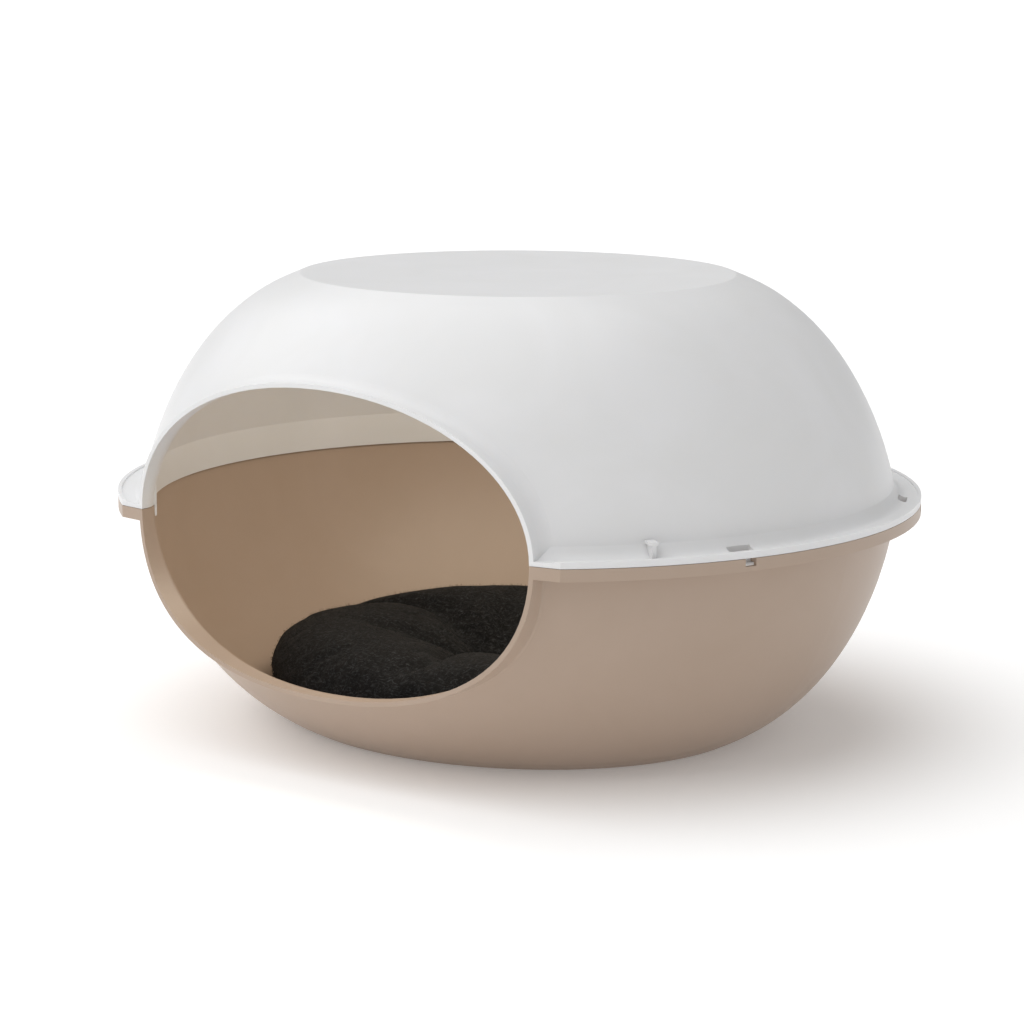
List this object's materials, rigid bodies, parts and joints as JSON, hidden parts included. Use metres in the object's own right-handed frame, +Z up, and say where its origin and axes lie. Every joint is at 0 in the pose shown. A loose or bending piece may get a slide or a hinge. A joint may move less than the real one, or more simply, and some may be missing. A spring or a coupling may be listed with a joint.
{
  "type": "hooded cat bed",
  "caption": "Oval two-shell plastic pet pod: an open tub, a hood that clips to its rim, with an oval side entrance, and a loose tufted fleece cushion.",
  "frame": {"origin": "centre of the tub's flat underside, on the centre of the shells' oval", "axes": "+Z up, X along the long axis of the oval, the entrance faces -Y"},
  "size_m": [0.57, 0.4967, 0.315],
  "materials": {
    "hood_plastic": "white injection-moulded polypropylene, satin",
    "tub_plastic": "warm beige injection-moulded polypropylene, satin",
    "fleece": "charcoal brushed fleece",
    "fibre": "polyester fibre filling",
    "thread": "black stitching thread"
  },
  "bodies": {
    "tub": {"base_tub": "tub_plastic"},
    "hood": {"hood_shell": "hood_plastic"},
    "hook_front_right": {"snap_hook_front_right": "hood_plastic"},
    "hook_front_left": {"snap_hook_front_left": "hood_plastic"},
    "hook_rear_right": {"snap_hook_rear_right": "hood_plastic"},
    "hook_rear_left": {"snap_hook_rear_left": "hood_plastic"},
    "cushion": {"cushion_top_panel": "fleece", "cushion_bottom_panel": "fleece", "cushion_filling": "fibre", "tuft_stitch": "thread"}
  },
  "joints": [
    {"name": "hood_lift", "type": "slide", "parent": "tub", "child": "hood", "axis": [0, 0, 1], "range_m": [0, 0.35]},
    {"name": "hook_flex_front_right", "type": "hinge", "parent": "hood", "child": "hook_front_right", "pos_m": [0.25262, -0.10834, 0.1606], "axis": [0.4251, 0.9051, 0], "range_deg": [0, 20], "stiffness_Nm_per_rad": 0.05},
    {"name": "hook_flex_front_left", "type": "hinge", "parent": "hood", "child": "hook_front_left", "pos_m": [-0.25262, -0.10834, 0.1606], "axis": [0.4251, -0.9051, 0], "range_deg": [0, 20], "stiffness_Nm_per_rad": 0.05},
    {"name": "hook_flex_rear_right", "type": "hinge", "parent": "hood", "child": "hook_rear_right", "pos_m": [0.25262, 0.10834, 0.1606], "axis": [-0.4251, 0.9051, 0], "range_deg": [0, 20], "stiffness_Nm_per_rad": 0.05},
    {"name": "hook_flex_rear_left", "type": "hinge", "parent": "hood", "child": "hook_rear_left", "pos_m": [-0.25262, 0.10834, 0.1606], "axis": [-0.4251, -0.9051, 0], "range_deg": [0, 20], "stiffness_Nm_per_rad": 0.05},
    {"name": "cushion_lift", "type": "slide", "parent": "tub", "child": "cushion", "axis": [0, 0, 1], "range_m": [0, 0.1]}
  ]
}
